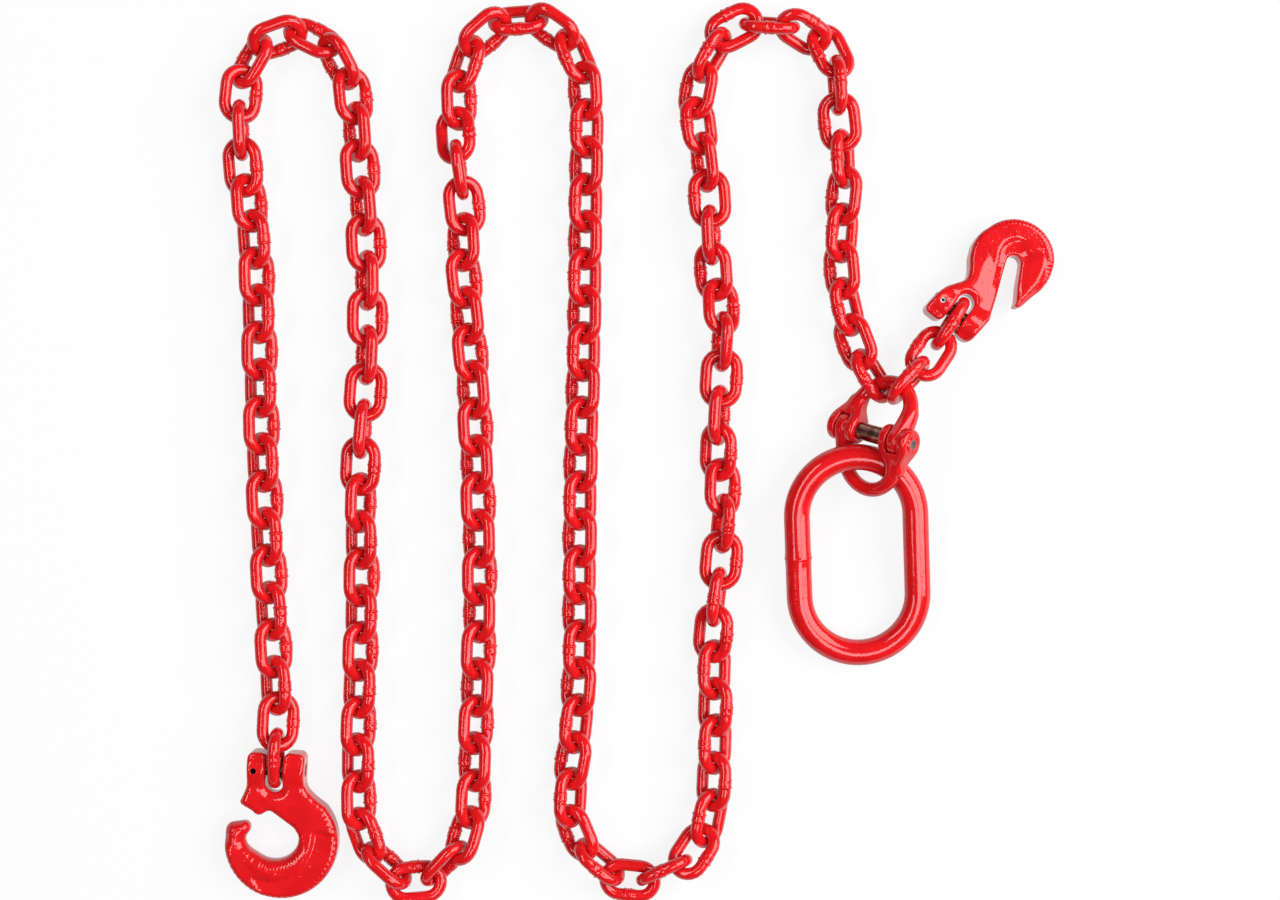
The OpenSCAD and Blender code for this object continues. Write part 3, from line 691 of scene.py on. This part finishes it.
def teardrop(y, z):
    r1, r2, h = half["lugRadius"], half["rootRadius"], half["root"]
    b = (r1 - r2) / h
    a = math.sqrt(1 - b * b)
    z = np.abs(z)
    along = a * y - b * z
    return np.where(along < 0, np.hypot(y, z) - r1,
                    np.where(along > a * h, np.hypot(y - h, z) - r2, a * z + b * y - r1))


def slab(across, flat, width, edge):  # an outline given thickness, its edges rounded
    p, q = across - width + edge, flat + edge
    return np.minimum(np.maximum(p, q), 0) + np.hypot(np.maximum(p, 0), np.maximum(q, 0)) - edge


def joined(a, b, blend):
    h = np.clip(0.5 + 0.5 * (b - a) / blend, 0, 1)
    return b * (1 - h) + a * h - blend * h * (1 - h)


def halfShape(x, y, z):
    flat = teardrop(y, z)
    spread = half["prongAt"] + (half["prongIn"] - half["prongAt"]) * ease(y, 4, half["root"])
    fork = slab(np.abs(x - half["bow"]), flat, spread + half["prong"], half["edge"])
    lug = slab(np.abs(x + half["bow"]), flat, half["single"], half["edge"])
    ring = np.where(y > half["foot"], np.hypot(x, y - half["foot"]) - half["bow"], np.abs(x) - half["bow"])
    bow = np.sqrt(ring ** 2 + z ** 2 + np.maximum(8 - y, 0) ** 2) - half["bar"] / 2
    bow -= half["swell"] * (1 - ease(y, 16, 32))
    shape = joined(joined(bow, fork, half["blend"]), lug, half["blend"])
    turning = slab(np.abs(x - half["bow"]), np.hypot(y, z) - half["slotRadius"],
                   half["slot"], half["slotEdge"])
    shape = -joined(-shape, turning, half["slotBlend"])  # room for the other half's lug
    return -joined(-shape, np.hypot(y, z) - half["bore"], half["boreBlend"])


def placeHalf(name):
    axis = [np.arange(low, high, half["cell"]) for low, high in half["reach"]]
    field = openvdb.FloatGrid(background=4.0)
    field.copyFromArray(halfShape(*np.meshgrid(*axis, indexing="ij")).astype(np.float32))
    points, quads = field.convertToQuads(isovalue=0.0)
    points = points * half["cell"] + [low for low, _ in half["reach"]]
    piece = meshObject(name + ".forged", [Vector(p.tolist()) * mm for p in points], quads.tolist(), redPaint)
    mesh = frame["nodes"][name].data
    weight = sum(f.area for f in mesh.polygons)
    middle = sum((Vector(f.center) * f.area for f in mesh.polygons), Vector()) / weight
    middle -= boxMiddle("load_pin")
    across = longAxis("load_pin")
    if middle.dot(across) < 0:
        across = -across
    away = (middle - across * middle.dot(across)).normalized()
    axes = Matrix((across, away, across.cross(away))).transposed()
    piece.data.transform(Matrix.Translation(boxMiddle("load_pin")) @ axes.to_4x4())
    facesOut(piece)
    piece.data.shade_smooth()
    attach(piece, name)
    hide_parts(name)


placeHalf("coupling_lower")
placeHalf("coupling_upper")
print("coupling forged")

placeHook("choker_hook", choker, chokerOutline(), chokerHeight, chokerEdge)
placeHook("grab_hook", grab, grabOutline(), grabHeight, grabEdge)
print("hooks forged")


masterLink = {
    "bar": 17, "crown": 38.5, "leg": 52,
    "sides": 32, "onCrown": 40, "onLeg": 9,
    "weldAt": [-22, -18, -14, -10, -7, -4, -2.5, -1.6, -0.8, 0, 0.8, 1.6, 2.5, 4, 7, 10, 14, 18, 22],
    "swell": 0.25, "swellHalf": 3.5, "rough": 0.04, "ridges": [(0, 0.5)], "seed": 3,
}


def placeMaster():
    ring = ringMesh("master_link.ring", masterLink, redPaint)
    place, axes = ringFrames("master_link", masterLink)[0]
    ring.data.transform(Matrix.Translation(place) @ axes.to_4x4())
    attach(ring, "master_link")
    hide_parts("master_link")


placeMaster()

# Load pin driven in with the paint still wet on the halves: bare steel only in the middle of its ends
pinSteel = makeSteel("loadPinSteel", bareSteel, (boxMiddle("load_pin"), longAxis("load_pin"), 3.1))
finishes = {"load_pin": (pinSteel, "bare_steel"), "retaining_sleeve": (sleeveSteel, "dark_steel"),
            # the choker's spring pin takes the steel darkened as painted shade of its hole
            "choker_hook_pin": (steel, "bare_steel"), "choker_hook_spring_pin": (holeShadeSteel, "dark_steel"),
            "grab_hook_pin": (steel, "bare_steel"), "grab_hook_spring_pin": (brightSteel, "bare_steel")}
for node, (material, slot) in finishes.items():
    frame["nodes"][node].data.materials.clear()
    frame["nodes"][node].data.materials.append(material)
print("pins finished")


# Studio: white table, three softboxes over it, dark cloths round it and over it, pale room
studio = {
    "tableSize": 6.0,
    "tableSeen": 0.92, "tableBounce": 0.2,            # how pale the table is to the eye, and to the light
    "tableGlow": 0.86,                                # share of its white that no shadow reaches
    "cameraHeight": 1.42, "middle": (1.92 * mm, 2.06 * mm), "planeHeight": 20 * mm, "viewWidth": 832 * mm,
    "room": 0.15,                                     # light of the room itself, through the ceiling cloth
    "flagShade": "#1c1c1c", "ceilingHeight": 3.4, "flagRadius": 4.2, "flagFoot": 0.25,
}
softboxes = [  # place, length along Y and width in metres, and power in watts
    {"name": "rightSoftbox", "place": (2.1, 0.4, 1.95), "size": (2.6, 2.3), "power": 86},
    {"name": "frontSoftbox", "place": (0.7, -1.0, 2.8), "size": (1.3, 1.1), "power": 21},
    {"name": "leftSoftbox", "place": (-1.5, 0.3, 2.3), "size": (2.6, 0.6), "power": 26},
]


def pale(tree, strength, otherwise):  # one value for what is seen, straight or mirrored, another for light
    path = tree.nodes.new("ShaderNodeLightPath").outputs
    seen = path["Is Camera Ray"]
    for ray in ("Is Glossy Ray", "Is Transmission Ray"):
        seen = addNode(tree, "ShaderNodeMath", {"operation": "MAXIMUM", 0: seen, 1: path[ray]}).outputs[0]
    return addNode(tree, "ShaderNodeMapRange", {"To_Min": otherwise, "To_Max": strength}, Value=seen)


def makeTable():
    material, tree = newMaterial("whiteTable")
    shade = pale(tree, studio["tableSeen"], studio["tableBounce"])
    matt = addNode(tree, "ShaderNodeBsdfDiffuse", {}, Color=shade.outputs["Result"])
    glow = addNode(tree, "ShaderNodeEmission", {"Color": (1, 1, 1, 1), "Strength": 1.0})
    share = pale(tree, studio["tableGlow"], 0.0).outputs["Result"]
    mixed = addNode(tree, "ShaderNodeMixShader", {0: share, 1: matt.outputs[0], 2: glow.outputs[0]})
    finishMaterial(tree, mixed)
    half = studio["tableSize"] / 2
    table = meshObject("table",
                       [(-half, -half, 0), (half, -half, 0), (half, half, 0), (-half, half, 0)],
                       [(0, 1, 2, 3)], material)


def makeLights():
    for box in softboxes:
        lamp = bpy.data.lights.new(box["name"], "AREA")
        lamp.shape = "RECTANGLE"
        lamp.size, lamp.size_y = box["size"]
        lamp.energy = box["power"]
        thing = bpy.data.objects.new(box["name"], lamp)
        bpy.context.scene.collection.objects.link(thing)
        thing.location = box["place"]
        thing.rotation_mode = "QUATERNION"
        thing.rotation_quaternion = Vector(box["place"]).to_track_quat("Z", "Y")
        thing.visible_camera = False
    world = bpy.data.worlds.new("paleRoom")
    world.use_nodes = True
    tree = world.node_tree
    room = tree.nodes["Background"]
    tree.links.new(pale(tree, 1.0, studio["room"]).outputs["Result"], room.inputs["Strength"])
    room.inputs["Color"].default_value = (1, 1, 1, 1)
    bpy.context.scene.world = world


def makeCamera():
    lens = bpy.data.cameras.new("aboveTheTable")
    lens.sensor_width = 36
    lens.lens = 36 * (studio["cameraHeight"] - studio["planeHeight"]) / studio["viewWidth"]
    lens.clip_end = 20
    camera = bpy.data.objects.new("aboveTheTable", lens)
    bpy.context.scene.collection.objects.link(camera)
    camera.location = (*studio["middle"], studio["cameraHeight"])
    bpy.context.scene.camera = camera


def makeFlags():  # dark cloths round and over the table, so that the gloss mirrors no white room
    material, tree = newMaterial("blackFlagCloth")
    finishMaterial(tree, addNode(tree, "ShaderNodeBsdfDiffuse", {"Color": linear(studio["flagShade"])}))
    radius, low, high = studio["flagRadius"], studio["flagFoot"], studio["ceilingHeight"]
    corners = [(radius * math.cos(a), radius * math.sin(a)) for a in np.radians(range(0, 360, 15))]
    n = len(corners)
    verts = [(x, y, low) for x, y in corners] + [(x, y, high) for x, y in corners]
    panels = [(i, (i + 1) % n, n + (i + 1) % n, n + i) for i in range(n)]
    sides = meshObject("sideFlags", verts, panels, material)
    ceiling = meshObject("ceilingFlag", [(x, y, high) for x, y in corners], [tuple(range(n))], material)
    ceiling.visible_diffuse = False                    # a thin cloth, which the room lights the table through
    for flag in (sides, ceiling):
        flag.visible_camera = False


makeTable()
makeFlags()
makeLights()
makeCamera()
bpy.context.scene.view_settings.view_transform = "Standard"
print("studio set")
